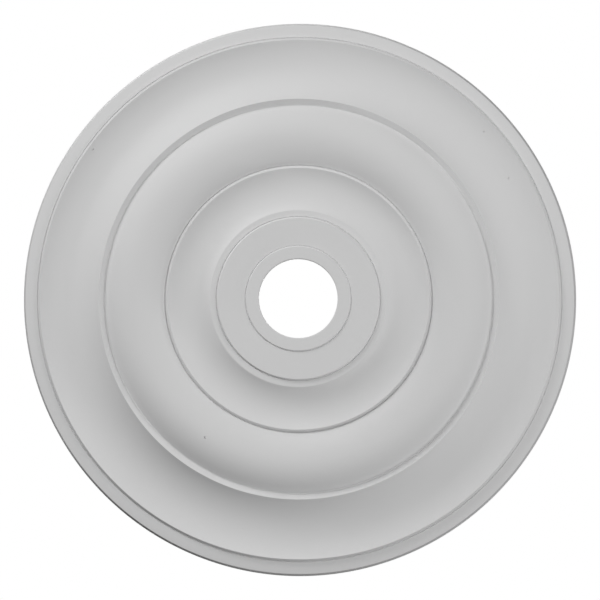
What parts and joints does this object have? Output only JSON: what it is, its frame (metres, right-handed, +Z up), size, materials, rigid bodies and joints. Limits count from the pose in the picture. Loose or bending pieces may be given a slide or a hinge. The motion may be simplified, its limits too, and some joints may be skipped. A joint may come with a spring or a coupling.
{
  "type": "ceiling rose",
  "caption": "Round moulded ceiling rose with plain concentric coves and a rounded ring, a flat hub and a central hole for a hanging light, hollow at the back.",
  "frame": {"origin": "centre of the back, in the plane where its edge land meets the ceiling", "axes": "+Z up into the ceiling, along the rose's axis; the mouldings face down, towards -Z"},
  "size_m": [0.72, 0.72, 0.066],
  "materials": {
    "primed_foam": "matte white primer on moulded rigid foam"
  },
  "bodies": {
    "root": {"ceiling_rose": "primed_foam"}
  },
  "joints": []
}
